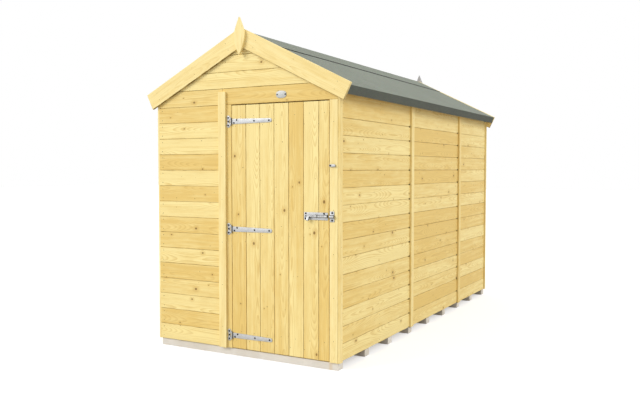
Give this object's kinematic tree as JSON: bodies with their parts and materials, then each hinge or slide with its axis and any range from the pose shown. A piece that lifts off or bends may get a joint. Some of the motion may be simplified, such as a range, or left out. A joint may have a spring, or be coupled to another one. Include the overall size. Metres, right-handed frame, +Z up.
{
  "type": "apex garden shed",
  "caption": "Timber apex garden shed in new pine boards, with a felted gable roof, a boarded front door on tee hinges, a bolt, a turn button and bearers under the floor",
  "frame": {"origin": "on the ground, under the middle of the shed's bounding box", "axes": "+Z up, -Y out of the front gable with the door, +X to the right when facing the door"},
  "size_m": [1.712, 3.422, 2.3732],
  "materials": {
    "cladding": "planed pine boards, pale cream and golden, fine grain",
    "trim_timber": "smooth planed pine, pale",
    "framing": "sawn pine",
    "roof_timber": "sawn pine boards",
    "deck_timber": "planed pine floor boards",
    "bearer_timber": "treated pine, pale grey",
    "felt": "mineral-faced roofing felt, grey-green",
    "zinc_steel": "bright zinc-plated steel",
    "plate_metal": "plain pale grey plate, bare"
  },
  "bodies": {
    "shed": {"floor_bearers": "bearer_timber", "floor_deck": "deck_timber", "front_left_panel": "cladding", "door_header": "cladding", "front_gable": "cladding", "hinge_post": "trim_timber", "latch_post": "framing", "front_cover_strips": "trim_timber", "end_wall_studs": "framing", "end_wall_rails": "framing", "back_panel": "cladding", "right_front_panel": "cladding", "right_middle_panel": "cladding", "right_rear_panel": "cladding", "right_studs": "framing", "right_rails": "framing", "right_cover_strips": "trim_timber", "left_front_panel": "cladding", "left_middle_panel": "cladding", "left_rear_panel": "cladding", "left_studs": "framing", "left_rails": "framing", "left_cover_strips": "trim_timber", "roof_boards_right": "roof_timber", "roof_boards_left": "roof_timber", "eaves_rails": "roof_timber", "roof_purlins": "framing", "roof_trusses": "framing", "roof_felt": "felt", "ridge_felt": "felt", "front_bargeboard_right": "trim_timber", "front_bargeboard_left": "trim_timber", "back_bargeboard_right": "trim_timber", "back_bargeboard_left": "trim_timber", "finials": "trim_timber", "hinge_plates": "zinc_steel", "bolt_keep": "zinc_steel", "button_screw": "zinc_steel", "name_plate": "plate_metal"},
    "door": {"door_boards": "cladding", "door_ledges": "framing", "door_braces": "framing", "hinge_straps": "zinc_steel", "bolt_plate": "zinc_steel"},
    "bolt": {"bolt_bar": "zinc_steel"},
    "button": {"turn_button": "zinc_steel"}
  },
  "joints": [
    {"name": "door_hinge", "type": "hinge", "parent": "shed", "child": "door", "pos_m": [-0.093, -1.6808, 0], "axis": [0, 0, -1], "range_deg": [0, 150]},
    {"name": "bolt_slide", "type": "slide", "parent": "door", "child": "bolt", "axis": [1, 0, 0], "range_m": [0, 0.034]},
    {"name": "button_swivel", "type": "hinge", "parent": "shed", "child": "button", "pos_m": [0.702, -1.685, 1.348], "axis": [0, -1, 0], "range_deg": [0, 180]}
  ]
}
